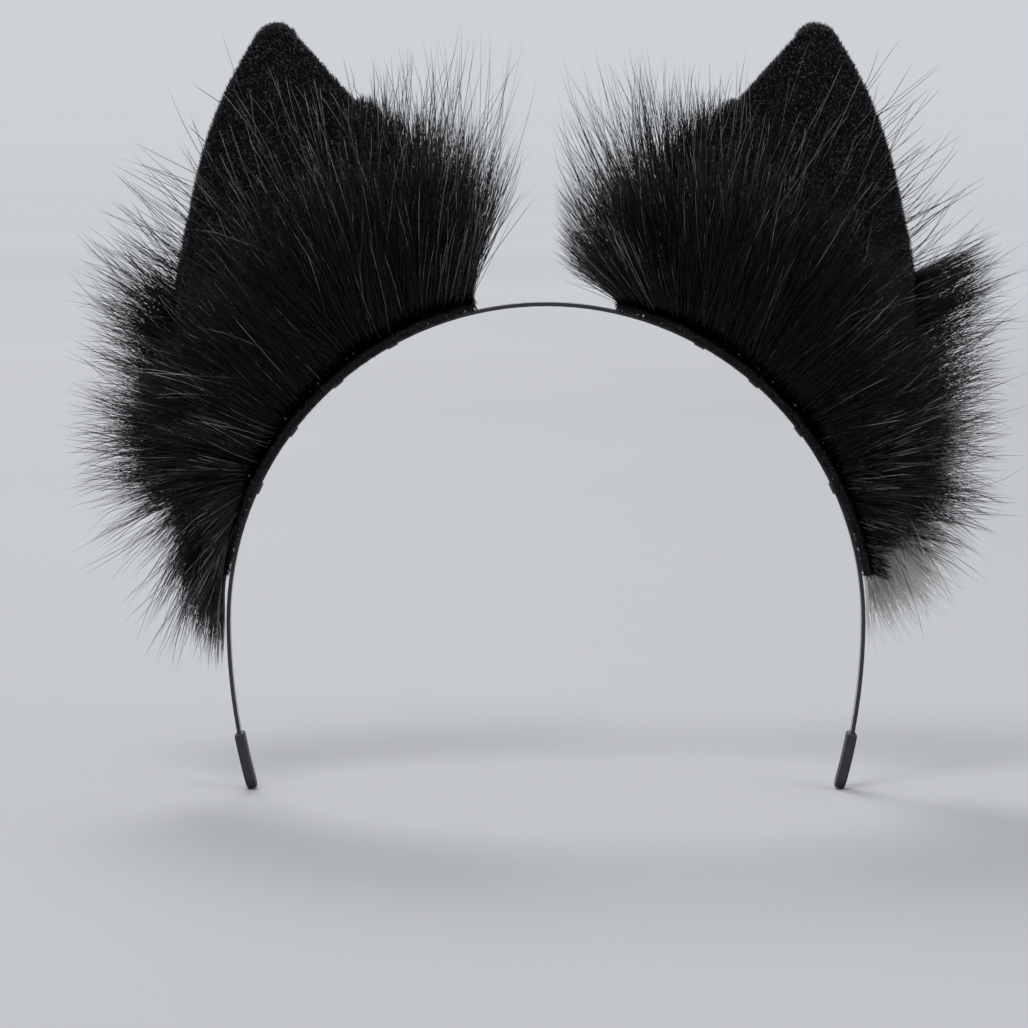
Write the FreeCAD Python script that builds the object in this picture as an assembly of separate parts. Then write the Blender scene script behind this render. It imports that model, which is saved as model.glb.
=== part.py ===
import FreeCAD, Part
import math
import os

# Animal ears headband: two furry ears tied to a thin spring hoop.
# Millimetres. Origin at the centre of the hoop's arc, +Z up to the crown, +Y to the wearer's back,
# +X to the wearer's left. The left ear is modelled and the right ear is its mirror image.

Vector = FreeCAD.Vector

# --- hoop ---
hoop_inner_radius = 82.0
hoop_thickness = 1.0
hoop_width = 5.0
arm_radius = 160.0          # outer face of each arm, tangent to the arc where the arm starts
arm_drop = 42.0             # from the arc's centre down to the strip's ends

# --- soft caps on the hoop's ends ---
cap_wall = 0.8              # on the strip's faces
cap_side_wall = 1.1         # on the strip's edges
cap_length = 15.0
cap_floor = 2.0             # cap material past the end of the strip
cap_tongue_radius = 3.0
cap_edge_radius = 0.6

# --- ear placement ---
hinge_angle = 47.0          # of the ear's base centre, from the vertical
base_radius = 88.0          # underside of the base strip, flatter than the hoop so its ends clear it
base_gap = 1.2              # base strip above the hoop's outer face, at the hinge
strip_thickness = 1.2
strip_half_width = 6.0
strip_half_angle = 33.0     # about the centre of the base curve

# --- ear leaf: outline in the XZ plane ---
leaf_inner_base = (21.5, 88.5)
leaf_inner_bulge = (30.0, 109.8)
leaf_inner_shoulder = (44.5, 130.3)
tip_inner = (63.6, 151.6)
tip_top = (69.7, 154.9)
tip_outer = (75.0, 151.0)
leaf_outer_upper = (85.9, 129.7)
leaf_outer_shoulder = (92.0, 107.0)
leaf_outer_bulge = (96.2, 62.0)
leaf_outer_base = (86.6, 17.5)

# --- ear leaf: layers, as radii about the axis that the ear is cupped around ---
cup_radius = 80.0
cup_lean = 9.5              # of the cup's axis, outwards from the vertical
cup_foot = (52.1, 48.6)     # the axis passes in front of this point of the leaf
cup_mid_y = 2.5
rim_front_radius = 77.2
lining_front_radius = 77.6
core_front_radius = 78.6
core_back_radius = 81.4
panel_back_radius = 83.0
wire_side = 2.0
rim_width = 3.0
fit_gap = 0.2               # between the fluff and the rim around it

# --- long fur on the back and along the outer edge ---
fur_inner_foot = (17.0, 86.0)
fur_inner_bulge = (13.6, 100.0)
fur_inner_crest = (20.5, 121.5)
fur_top_middle = (42.0, 128.0)
fur_top_outer = (94.0, 97.0)
fur_foot = (87.0, 14.0)
side_fur_crest = (101.5, 90.0)
side_fur_widest = (112.0, 56.0)
side_fur_low = (103.0, 14.0)
side_fur_tail = (91.0, -6.0)
side_fur_foot = (86.2, 0.0)
fur_crown_radius = 62.0     # rounds the back of the fur
fur_crown_y = 22.0          # back of the fur, level with the cup's foot
fur_crown_lean = 8.0        # the fur thins towards the ear's tip
side_fur_front_radius = 76.0

# --- pale fluff in the cup ---
fluff_top = 124.0
fluff_front_y = -16.0
fluff_front_slope = 6.5     # degrees, the fluff thins towards the top

# --- stitches: thread loops round the strip ---
stitch_angles = (-18.0, -6.0, 6.0, 18.0)
stitch_length = 3.0         # along the hoop
thread_thickness = 0.25
stitch_side_gap = 0.1
stitch_under_gap = 0.05

# --- construction ---
far = 260.0                 # longer than any piece
front_y = -40.0             # the ear's pieces are cut from prisms between these two planes
back_y = 45.0

hoop_outer_radius = hoop_inner_radius + hoop_thickness
hoop_middle_radius = hoop_inner_radius + hoop_thickness / 2
Y = Vector(0, 1, 0)


def point(xz, y=0.0):
    return Vector(xz[0], y, xz[1])


def polar(radius, angle, centre=(0.0, 0.0)):
    """A point of the XZ plane, at an angle from the vertical."""
    turn = math.radians(angle)
    return centre[0] + radius * math.sin(turn), centre[1] + radius * math.cos(turn)


def arc(start, middle, end):
    return Part.Arc(point(start), point(middle), point(end)).toShape()


def line(start, end):
    return Part.LineSegment(point(start), point(end)).toShape()


def curve(*places):
    spline = Part.BSplineCurve()
    spline.interpolate([point(place) for place in places])
    return spline.toShape()


def face_of(edges):
    return Part.Face(Part.Wire(Part.__sortEdges__(edges)))


def prism(face, low_y, high_y):
    moved = face.copy()
    moved.translate(Y * low_y)
    return moved.extrude(Y * (high_y - low_y))


def one_solid(shape):
    """The single solid of a boolean's result."""
    solids = shape.Solids
    if len(solids) != 1:
        raise ValueError("expected one solid, got %d" % len(solids))
    return solids[0]


def across(centre, radius, low_y=front_y, high_y=back_y):
    """A cylinder along Y about a point of the XZ plane."""
    return Part.makeCylinder(radius, high_y - low_y, point(centre, low_y), Y)


# ---------------------------------------------------------------- hoop and caps

arm_centre = (hoop_outer_radius - arm_radius, 0.0)
arm_end_angle = 90.0 + math.degrees(math.asin(arm_drop / arm_radius))


def arm_point(offset, angle, side=1):
    """A point of an arm: offset outwards from its outer face, at an angle about the arm's centre."""
    x, z = polar(arm_radius + offset, angle, arm_centre)
    return side * x, z


def arm_edge(offset, start_angle, end_angle, side=1):
    middle_angle = (start_angle + end_angle) / 2
    return arc(*[arm_point(offset, angle, side) for angle in (start_angle, middle_angle, end_angle)])


def hoop_band():
    edges = []
    for offset, radius in ((0.0, hoop_outer_radius), (-hoop_thickness, hoop_inner_radius)):
        edges.append(arc((radius, 0.0), (0.0, radius), (-radius, 0.0)))
        for side in (1, -1):
            edges.append(arm_edge(offset, 90.0, arm_end_angle, side))
    for side in (1, -1):
        ends = [arm_point(offset, arm_end_angle, side) for offset in (0.0, -hoop_thickness)]
        edges.append(line(*ends))
    return prism(face_of(edges), -hoop_width / 2, hoop_width / 2)


def end_cap(band):
    degrees_per_mm = math.degrees(1 / arm_radius)
    low = arm_end_angle + cap_floor * degrees_per_mm
    high = low - cap_length * degrees_per_mm
    outside, inside = cap_wall, -hoop_thickness - cap_wall
    edges = [arm_edge(outside, high, low), arm_edge(inside, high, low)]
    for angle in (high, low):
        edges.append(line(arm_point(outside, angle), arm_point(inside, angle)))
    half_width = hoop_width / 2 + cap_side_wall
    body = prism(face_of(edges), -half_width, half_width)

    def is_tongue_corner(edge):
        centre = edge.CenterOfMass
        lowest = body.BoundBox.ZMin + 1.0
        return abs(centre.y) > half_width - 0.01 and edge.BoundBox.ZMax < lowest

    body = body.makeFillet(cap_tongue_radius, [edge for edge in body.Edges if is_tongue_corner(edge)])
    body = body.makeFillet(cap_edge_radius, body.Edges)
    return one_solid(body.cut(band))


# ---------------------------------------------------------------- ear geometry

hinge = polar(hoop_middle_radius, hinge_angle)
base_centre = polar(hoop_outer_radius + base_gap - base_radius, hinge_angle)
leaf_base_radius = base_radius + strip_thickness
cup_direction = Vector(math.sin(math.radians(cup_lean)), 0, math.cos(math.radians(cup_lean)))


def on_base(place, radius):
    """The point of a curve parallel to the base that is nearest to a place."""
    dx, dz = place[0] - base_centre[0], place[1] - base_centre[1]
    scale = radius / math.hypot(dx, dz)
    return base_centre[0] + dx * scale, base_centre[1] + dz * scale


def cup(radius):
    """The inside of a cylinder about the axis that the ear is cupped around."""
    foot = point(cup_foot, cup_mid_y - cup_radius) - cup_direction * (far / 2)
    return Part.makeCylinder(radius, far, foot, cup_direction)


def layer(face, inner_radius, outer_radius):
    """One curved layer of the ear, with a face's outline."""
    block = prism(face, front_y, back_y).common(cup(outer_radius))
    return one_solid(block.cut(cup(inner_radius)))


def base_edge(start, end, radius):
    """An arc parallel to the base, between the points nearest to two places."""
    start, end = on_base(start, radius), on_base(end, radius)
    middle = on_base(((start[0] + end[0]) / 2, (start[1] + end[1]) / 2), radius)
    return arc(start, middle, end)


def leaf_face():
    inner = on_base(leaf_inner_base, leaf_base_radius)
    outer = on_base(leaf_outer_base, leaf_base_radius)
    return face_of([
        arc(inner, leaf_inner_bulge, leaf_inner_shoulder),
        line(leaf_inner_shoulder, tip_inner),
        arc(tip_inner, tip_top, tip_outer),
        arc(tip_outer, leaf_outer_upper, leaf_outer_shoulder),
        arc(leaf_outer_shoulder, leaf_outer_bulge, outer),
        base_edge(inner, outer, leaf_base_radius),
    ])


leaf = leaf_face()
leaf_inside_rim = leaf.makeOffset2D(-rim_width)
leaf_inside_wire = leaf.makeOffset2D(-rim_width - wire_side)


def back_panel():
    """Short plush: a curved sheet, with its edge turned forwards round the core as a rim."""
    rim = layer(leaf.cut(leaf_inside_rim), rim_front_radius, core_back_radius)
    return one_solid(layer(leaf, core_back_radius, panel_back_radius).fuse(rim).removeSplitter())


def core():
    return layer(leaf_inside_wire, core_front_radius, core_back_radius)


def frame_wire():
    ring = leaf_inside_rim.cut(leaf_inside_wire)
    return layer(ring, cup_radius - wire_side / 2, cup_radius + wire_side / 2)


def front_lining():
    return layer(leaf_inside_rim, lining_front_radius, core_front_radius)


def base_strip():
    """Felt strip under the ear, parallel to the base curve."""
    radii = (base_radius, leaf_base_radius)
    ends = [hinge_angle - strip_half_angle, hinge_angle + strip_half_angle]
    corners = [[polar(radius, angle, base_centre) for angle in ends] for radius in radii]
    edges = [base_edge(*pair, radius) for pair, radius in zip(corners, radii)]
    edges += [line(corners[0][end], corners[1][end]) for end in (0, 1)]
    return prism(face_of(edges), -strip_half_width, strip_half_width)


def fur_crown():
    """The rounded back of the fur: a leaning cylinder."""
    lean = math.radians(fur_crown_lean)
    direction = Vector(cup_direction.x, -math.sin(lean), cup_direction.z).normalize()
    foot = point(cup_foot, fur_crown_y - fur_crown_radius) - direction * (far / 2)
    return Part.makeCylinder(fur_crown_radius, far, foot, direction)


def fur_region():
    """Outline of all the long fur, seen from behind."""
    return face_of([
        curve(fur_inner_foot, fur_inner_bulge, fur_inner_crest),
        curve(fur_inner_crest, fur_top_middle, fur_top_outer),
        line(fur_top_outer, side_fur_crest),
        curve(side_fur_crest, side_fur_widest, side_fur_low, side_fur_tail),
        line(side_fur_tail, side_fur_foot),
        line(side_fur_foot, fur_foot),
        line(fur_foot, on_base(fur_foot, leaf_base_radius)),
        base_edge(fur_foot, fur_inner_foot, leaf_base_radius),
        line(on_base(fur_inner_foot, leaf_base_radius), fur_inner_foot),
    ])


def edge_disc():
    """The disc whose rim is the leaf's outer edge: it parts the back fur from the side fur."""
    base = on_base(leaf_outer_base, leaf_base_radius)
    circle = Part.Circle(*[point(place) for place in (base, leaf_outer_bulge, leaf_outer_shoulder)])
    return Part.Face(Part.Wire(circle.toShape()))


def fur(region, front_radius):
    block = prism(region, front_y, back_y).common(fur_crown())
    return one_solid(block.cut(cup(front_radius)))


def back_fur():
    return fur(fur_region().common(edge_disc()), panel_back_radius)


def side_fur():
    return fur(fur_region().cut(edge_disc()), side_fur_front_radius)


def inner_fluff():
    """Fills the cup in front of the lining, inside the rim, and thins towards the ear's tip."""
    rise = fluff_top * math.tan(math.radians(fluff_front_slope))
    corners = [
        Vector(0, fluff_front_y, 0),
        Vector(0, fluff_front_y + rise, fluff_top),
        Vector(0, back_y, fluff_top),
        Vector(0, back_y, 0),
    ]
    side = Part.Face(Part.makePolygon(corners + corners[:1]))
    room = side.extrude(Vector(far, 0, 0)).common(cup(lining_front_radius))
    return one_solid(prism(leaf.makeOffset2D(-rim_width - fit_gap), front_y, back_y).common(room))


def stitches():
    """Loops of thread that hang from the base strip and pass under the hoop."""
    inside = hoop_width / 2 + stitch_side_gap
    outside = inside + thread_thickness
    floor = hoop_inner_radius - stitch_under_gap
    depth = base_radius
    loops = []
    for angle in stitch_angles:
        corner = Vector(-stitch_length / 2, -outside, floor - thread_thickness)
        loop = Part.makeBox(stitch_length, 2 * outside, depth, corner)
        corner = Vector(-stitch_length / 2, -inside, floor)
        loop = loop.cut(Part.makeBox(stitch_length, 2 * inside, depth, corner))
        loop.rotate(Vector(0, 0, 0), Y, hinge_angle + angle)
        loops.append(one_solid(loop.common(across(base_centre, base_radius))))
    return Part.makeCompound(loops)


# ---------------------------------------------------------------- all pieces

band = hoop_band()
cap = end_cap(band)
pieces = {"hoop_band": band}

left_pieces = {
    "end_cap": cap,
    "ear_base_strip": base_strip(),
    "ear_stitches": stitches(),
    "ear_core": core(),
    "ear_wire": frame_wire(),
    "ear_back_panel": back_panel(),
    "ear_front_lining": front_lining(),
    "ear_back_fur": back_fur(),
    "ear_side_fur": side_fur(),
    "ear_inner_fluff": inner_fluff(),
}
for name, shape in left_pieces.items():
    pieces["left_" + name] = shape
    pieces["right_" + name] = shape.mirror(Vector(0, 0, 0), Vector(1, 0, 0))

os.makedirs("parts", exist_ok=True)
for name, shape in pieces.items():
    if not shape.isValid():
        raise ValueError(name + " is not a valid shape")
    shape.exportStep("parts/" + name + ".step")
    box = shape.BoundBox
    print("%-26s %d solid(s) %9.1f mm3  X %7.1f %7.1f  Y %6.1f %6.1f  Z %6.1f %6.1f" % (
        name, len(shape.Solids), shape.Volume, box.XMin, box.XMax, box.YMin, box.YMax, box.ZMin, box.ZMax))
print("hinge at x %.3f, z %.3f mm" % hinge)
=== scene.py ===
import math

import bmesh
import bpy
import numpy as np
from mathutils import Matrix, Vector
from mathutils.bvhtree import BVHTree
from mathutils.geometry import delaunay_2d_cdt
from mathutils.kdtree import KDTree


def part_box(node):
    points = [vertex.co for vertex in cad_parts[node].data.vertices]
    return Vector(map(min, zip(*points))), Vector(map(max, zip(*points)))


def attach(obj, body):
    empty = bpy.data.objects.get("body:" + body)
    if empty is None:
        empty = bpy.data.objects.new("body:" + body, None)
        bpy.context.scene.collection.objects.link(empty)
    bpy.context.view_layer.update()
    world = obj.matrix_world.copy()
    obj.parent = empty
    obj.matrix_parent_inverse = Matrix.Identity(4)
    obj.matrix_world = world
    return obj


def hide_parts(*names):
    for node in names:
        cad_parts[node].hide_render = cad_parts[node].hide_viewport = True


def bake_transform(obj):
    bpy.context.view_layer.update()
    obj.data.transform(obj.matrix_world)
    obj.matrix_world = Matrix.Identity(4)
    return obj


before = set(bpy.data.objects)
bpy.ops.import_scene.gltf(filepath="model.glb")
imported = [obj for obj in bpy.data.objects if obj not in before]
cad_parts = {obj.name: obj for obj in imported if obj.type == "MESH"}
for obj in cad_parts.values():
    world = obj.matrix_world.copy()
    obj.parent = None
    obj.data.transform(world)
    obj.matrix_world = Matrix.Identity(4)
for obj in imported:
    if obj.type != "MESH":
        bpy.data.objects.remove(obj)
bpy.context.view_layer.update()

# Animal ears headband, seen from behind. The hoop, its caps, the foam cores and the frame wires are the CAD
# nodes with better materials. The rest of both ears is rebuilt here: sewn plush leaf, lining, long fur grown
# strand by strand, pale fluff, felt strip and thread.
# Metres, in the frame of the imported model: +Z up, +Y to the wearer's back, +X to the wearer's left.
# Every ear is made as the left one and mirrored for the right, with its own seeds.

MM = 0.001
UP = np.array([0.0, 0.0, 1.0])
BACK = np.array([0.0, 1.0, 0.0])
HAIR_UV = "OFBake"      # u tells the hairs apart, v runs from root to tip
GLINT_FROM = 0.9        # hairs with u above this are lighter, painted glints
GLINT_TURNS = (12, 24, 44, 62)      # degrees from the hoop's top; shares of painted glint hairs are given there

# --- the hoop and the floor, from the frame ---
hoop_low, hoop_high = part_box("hoop_band")
HOOP_RADIUS = hoop_high.z / MM
HOOP_HALF_WIDTH = (hoop_high.y - hoop_low.y) / 2 / MM
HOOP_THICKNESS = 1.0
floor_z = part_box("left_end_cap")[0].z

# --- the ear's leaf, in the XZ plane, in millimetres: the CAD outline, carried down to the strip ---
STEP = 1.0                  # between the outline's points
LEAF_INNER_BASE = (20.2, 83.6)
LEAF_INNER_BULGE = (30.0, 109.8)
LEAF_INNER_SHOULDER = (44.5, 130.3)
TIP_INNER = (63.6, 151.6)
TIP_TOP = (69.7, 154.9)
TIP_OUTER = (75.0, 151.0)
LEAF_OUTER_UPPER = (85.9, 129.7)
LEAF_OUTER_SHOULDER = (92.0, 107.0)
LEAF_OUTER_BULGE = (96.2, 62.0)
LEAF_OUTER_BASE = (84.2, 17.0)

# --- the felt strip under the leaf, in millimetres ---
BASE_CENTRE = (-2.8, -2.6)
BASE_RADIUS = 89.2          # of the strip's outer face, the leaf's lower edge
STRIP_TURNS = (14, 80)      # degrees from straight up
STRIP_HALF_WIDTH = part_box("left_ear_base_strip")[1].y / MM
STRIP_HALF_THICKNESS = 0.6

# --- the hairs, in millimetres ---
HAIR_RINGS = 5              # steps of a long hair, from its root to its tip
HOOP_GAP = 1.5              # between the hoop and the nearest long hair
FUR_LOW = np.array([1.0, -38.0, -16.0])     # no hair of the left ear reaches past this box
FUR_HIGH = np.array([127.5, 30.5, 158.0])
FUR_WIDTH = 0.18
FUR_WIDTH_PAST_EDGE = 0.205
FRINGE_WIDTH = 0.34
OVER_PLUSH_WIDTH = 0.21
LOOSE_WIDTH = 0.2
PILE_WIDTH = 0.145
LINING_PILE_WIDTH = 0.24
FLUFF_WIDTH = 0.2

# --- layers of the leaf, as radii about the axis it is cupped around, in millimetres ---
CUP_RADIUS = 80.0
CUP_LEAN = math.radians(9.5)
CUP_FOOT = (52.1, 2.5 - CUP_RADIUS, 48.6)
RIM_RADIUS = 2.9
RIM_CENTRE = 80.1
PANEL_BACK = 83.0
LINING_FRONT = 77.6
LINING_BACK = 78.5


# ---- plane curves and the cupped surface ----

def arc_points(start, middle, end):
    """Points about STEP apart on the circle through three points, without the last one."""
    (ax, ay), (bx, by), (cx, cy) = start, middle, end
    d = 2 * (ax * (by - cy) + bx * (cy - ay) + cx * (ay - by))
    a, b, c = ax * ax + ay * ay, bx * bx + by * by, cx * cx + cy * cy
    ux = (a * (by - cy) + b * (cy - ay) + c * (ay - by)) / d
    uy = (a * (cx - bx) + b * (ax - cx) + c * (bx - ax)) / d
    radius = math.hypot(ax - ux, ay - uy)
    turns = [math.atan2(y - uy, x - ux) for x, y in (start, middle, end)]
    sweep = (turns[2] - turns[0]) % math.tau
    if (turns[1] - turns[0]) % math.tau > sweep:
        sweep -= math.tau
    count = max(2, round(abs(sweep) * radius / STEP))
    angles = turns[0] + sweep * np.arange(count) / count
    return np.stack([ux + radius * np.cos(angles), uy + radius * np.sin(angles)], axis=1)


def line_points(start, end):
    start, end = np.array(start), np.array(end)
    count = max(2, round(float(np.linalg.norm(end - start)) / STEP))
    return start + (end - start) * (np.arange(count) / count)[:, None]


def on_base(x, z):
    scale = BASE_RADIUS / math.hypot(x - BASE_CENTRE[0], z - BASE_CENTRE[1])
    return BASE_CENTRE[0] + (x - BASE_CENTRE[0]) * scale, BASE_CENTRE[1] + (z - BASE_CENTRE[1]) * scale


def leaf_outline():
    """The leaf's closed outline in the XZ plane, clockwise from the inner end of its base."""
    middle = on_base((LEAF_INNER_BASE[0] + LEAF_OUTER_BASE[0]) / 2,
                     (LEAF_INNER_BASE[1] + LEAF_OUTER_BASE[1]) / 2)
    return np.concatenate([
        arc_points(LEAF_INNER_BASE, LEAF_INNER_BULGE, LEAF_INNER_SHOULDER),
        line_points(LEAF_INNER_SHOULDER, TIP_INNER),
        arc_points(TIP_INNER, TIP_TOP, TIP_OUTER),
        arc_points(TIP_OUTER, LEAF_OUTER_UPPER, LEAF_OUTER_SHOULDER),
        arc_points(LEAF_OUTER_SHOULDER, LEAF_OUTER_BULGE, LEAF_OUTER_BASE),
        arc_points(LEAF_OUTER_BASE, middle, LEAF_INNER_BASE),
    ])


def inward_normals(outline):
    """Unit normals that point into a clockwise outline."""
    along = np.roll(outline, -1, axis=0) - np.roll(outline, 1, axis=0)
    return unit(np.stack([along[:, 1], -along[:, 0]], axis=1))


def edge_depth(places, outline):
    """How far places are from the outline's edge."""
    ahead = np.roll(outline, -1, axis=0) - outline
    length = (ahead ** 2).sum(axis=1)
    depths = []
    for some in np.array_split(places, max(1, len(places) // 2000)):
        reach = some[:, None, :] - outline[None, :, :]
        share = np.clip((reach * ahead).sum(axis=2) / length, 0, 1)
        depths.append(np.linalg.norm(reach - share[..., None] * ahead, axis=2).min(axis=1))
    return np.concatenate(depths)


def inside(places, outline):
    """Which places of the XZ plane are inside a closed outline."""
    x, z = places[:, :1], places[:, 1:]
    x0, z0 = outline[:, 0], outline[:, 1]
    x1, z1 = np.roll(x0, -1), np.roll(z0, -1)
    crosses = (z0 > z) != (z1 > z)
    at = x0 + (z - z0) * (x1 - x0) / np.where(z1 == z0, 1e-9, z1 - z0)
    return (crosses & (x < at)).sum(axis=1) % 2 == 1


def unit(vectors):
    return vectors / np.maximum(np.linalg.norm(vectors, axis=-1, keepdims=True), 1e-12)


OUTLINE = leaf_outline()
INWARD = inward_normals(OUTLINE)


def offset_ring(depth):
    """The outline moved inwards, without the points that run into the opposite edge near the corners."""
    ring = OUTLINE + INWARD * depth
    return ring[edge_depth(ring, OUTLINE) > depth - 0.05]


ACROSS = np.array([math.cos(CUP_LEAN), 0.0, -math.sin(CUP_LEAN)])


def on_cup(places, radius):
    """Points over places of the XZ plane, at a radius from the axis that the ear is cupped around."""
    places = np.asarray(places, float)
    u = (places[:, 0] - CUP_FOOT[0]) * ACROSS[0] + (places[:, 1] - CUP_FOOT[2]) * ACROSS[2]
    y = CUP_FOOT[1] + np.sqrt(np.maximum(np.asarray(radius) ** 2 - u ** 2, 1.0))
    return np.stack([places[:, 0], y, places[:, 1]], axis=1)


def cup_normal(places):
    """Unit normals towards the back, over places of the XZ plane."""
    u = (places[:, 0] - CUP_FOOT[0]) * ACROSS[0] + (places[:, 1] - CUP_FOOT[2]) * ACROSS[2]
    tilt = np.clip(u / CUP_RADIUS, -0.95, 0.95)[:, None]
    return ACROSS * tilt + BACK * np.sqrt(1 - tilt ** 2)


# ---- materials ----

def material(name, **sockets):
    """A new material with its Principled shader's sockets set, its node tree and that shader."""
    made = bpy.data.materials.new(name)
    made.use_nodes = True
    shader = made.node_tree.nodes["Principled BSDF"]
    for socket, value in sockets.items():
        shader.inputs[socket.replace("_", " ")].default_value = value
    return made, made.node_tree, shader


def node(tree, kind, inputs=(), **settings):
    made = tree.nodes.new(kind)
    for name, value in settings.items():
        setattr(made, name, value)
    for name, value in dict(inputs).items():
        if isinstance(value, bpy.types.NodeSocket):
            tree.links.new(value, made.inputs[name])
        else:
            made.inputs[name].default_value = value
    return made


def ramp(tree, factor, stops):
    """A colour ramp over factor. stops are (place, grey or colour)."""
    made = node(tree, "ShaderNodeValToRGB", {"Fac": factor})
    elements = made.color_ramp.elements
    while len(elements) < len(stops):
        elements.new(0.5)
    for element, (place, colour) in zip(elements, stops):
        element.position = place
        colour = (colour, colour, colour) if isinstance(colour, float) else colour
        element.color = (*colour, 1.0)
    return made.outputs["Color"]


def colour_product(tree, first, second):
    mixed = node(tree, "ShaderNodeMix", data_type="RGBA", blend_type="MULTIPLY")
    mixed.inputs[0].default_value = 1.0
    tree.links.new(first, mixed.inputs[6])
    tree.links.new(second, mixed.inputs[7])
    return mixed.outputs[2]


def hair_material(name, root, tip, spread, light, brightest, roughness, sheen, gloss):
    """Hair coloured by its own map. Each hair's tone differs by spread, it turns from root to tip colour,
    and the few hairs at the far end of u are lighter, by the factor light up to light times brightest.
    These lighter hairs are painted glints: highlights put into the colour, in short bright stretches."""
    made, tree, shader = material(name, Roughness=roughness, Sheen_Weight=sheen, Sheen_Roughness=0.4,
                                  Specular_IOR_Level=gloss)
    uv = node(tree, "ShaderNodeUVMap", uv_map=HAIR_UV).outputs["UV"]
    noises = []
    for scale, detail in (((90.0, 2.5, 1.0), 3.0), ((150.0, 7.0, 1.0), 2.0)):
        drawn_out = node(tree, "ShaderNodeMapping", {"Vector": uv, "Scale": scale}).outputs["Vector"]
        noise = node(tree, "ShaderNodeTexNoise", {"Vector": drawn_out, "Scale": 1.0, "Detail": detail})
        noises.append(noise.outputs["Fac"])
    parts = node(tree, "ShaderNodeSeparateXYZ", {"Vector": uv})
    along = ramp(tree, parts.outputs["Y"], [(0.25, root), (0.78, tip)])
    shade = ramp(tree, noises[0], [(0.3, 1.0 - spread), (0.7, 1.0)])
    # Painted glints: hairs with u past the limit are lighter, by a step of light, then up to light times
    # brightest.
    few = node(tree, "ShaderNodeMapRange", {"Value": parts.outputs["X"], "From Min": GLINT_FROM - 0.01,
                                            "From Max": GLINT_FROM, "To Min": 1.0, "To Max": light})
    most = node(tree, "ShaderNodeMapRange", {"Value": parts.outputs["X"], "From Min": GLINT_FROM,
                                             "From Max": 0.98, "To Min": 1.0, "To Max": brightest})
    # Breaks the painted glints into short bright stretches along each hair, and varies the other hairs' tone
    # along them.
    glint_breaks = ramp(tree, noises[1], [(0.4, 0.9 - spread), (0.58, 1.0)])
    colour = colour_product(tree, colour_product(tree, along, shade), glint_breaks)
    colour = colour_product(tree, colour_product(tree, colour, few.outputs["Result"]), most.outputs["Result"])
    tree.links.new(colour, shader.inputs["Base Color"])
    return made


def mottled(tree, shader, stops, rough, **noise):
    """Colour and roughness that follow one noise over the surface."""
    place = node(tree, "ShaderNodeTexCoord").outputs["Object"]
    mottle = node(tree, "ShaderNodeTexNoise", {"Vector": place, **noise}).outputs["Fac"]
    tree.links.new(ramp(tree, mottle, stops), shader.inputs["Base Color"])
    limits = node(tree, "ShaderNodeMapRange", {"Value": mottle, "To Min": rough[0], "To Max": rough[1]})
    tree.links.new(limits.outputs["Result"], shader.inputs["Roughness"])
    return place, mottle


def relief(tree, shader, height, strength, distance):
    bump = node(tree, "ShaderNodeBump", {"Height": height, "Strength": strength, "Distance": distance})
    tree.links.new(bump.outputs["Normal"], shader.inputs["Normal"])


def cloth_material(name, dark, light, scale, roughness, bump, sheen, gloss=0.5):
    """Felt, thread, foam or plush backing: mottled colour and a fine fibrous relief."""
    made, tree, shader = material(name, Sheen_Weight=sheen, Sheen_Roughness=0.5, Specular_IOR_Level=gloss)
    rough = (roughness - 0.1, min(1.0, roughness + 0.1))
    place, _ = mottled(tree, shader, [(0.3, dark), (0.7, light)], rough,
                       Scale=scale, Detail=6.0, Roughness=0.7)
    fibre = node(tree, "ShaderNodeTexNoise", {"Vector": place, "Scale": scale * 5, "Detail": 4.0})
    relief(tree, shader, fibre.outputs["Fac"], bump, 0.0004)
    return made


# ---- meshes ----

def placed(name, data):
    """A new object in the scene."""
    made = bpy.data.objects.new(name, data)
    bpy.context.scene.collection.objects.link(made)
    return made


def mesh_piece(name, points, faces, finish):
    """A mesh object from points in millimetres."""
    data = bpy.data.meshes.new(name)
    data.from_pydata((np.asarray(points) * MM).tolist(), [], [list(map(int, f)) for f in faces])
    data.polygons.foreach_set("use_smooth", [True] * len(data.polygons))
    data.materials.append(finish)
    return placed(name, data)


def outward(piece, weld=False):
    """Makes the faces of a closed mesh point outwards, after joining points that meet if weld is set."""
    mesh = bmesh.new()
    mesh.from_mesh(piece.data)
    if weld:
        bmesh.ops.remove_doubles(mesh, verts=mesh.verts, dist=1e-5)
        bmesh.ops.dissolve_degenerate(mesh, edges=mesh.edges, dist=1e-6)
    bmesh.ops.recalc_face_normals(mesh, faces=mesh.faces)
    mesh.to_mesh(piece.data)
    mesh.free()
    return piece


def ring_faces(rings, count):
    """Quads between closed rings of count points, one after the other."""
    ring = np.arange(rings - 1)[:, None] * count
    here, there = np.arange(count), np.roll(np.arange(count), -1)
    quads = np.stack([ring + here, ring + there, ring + there + count, ring + here + count], axis=-1)
    return quads.reshape(-1, 4).tolist()


def mirrored(points, side):
    """Points in millimetres, on the left ear or on its mirror image."""
    return np.asarray(points) * np.array([side, 1.0, 1.0])


# ---- hair ----

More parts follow.
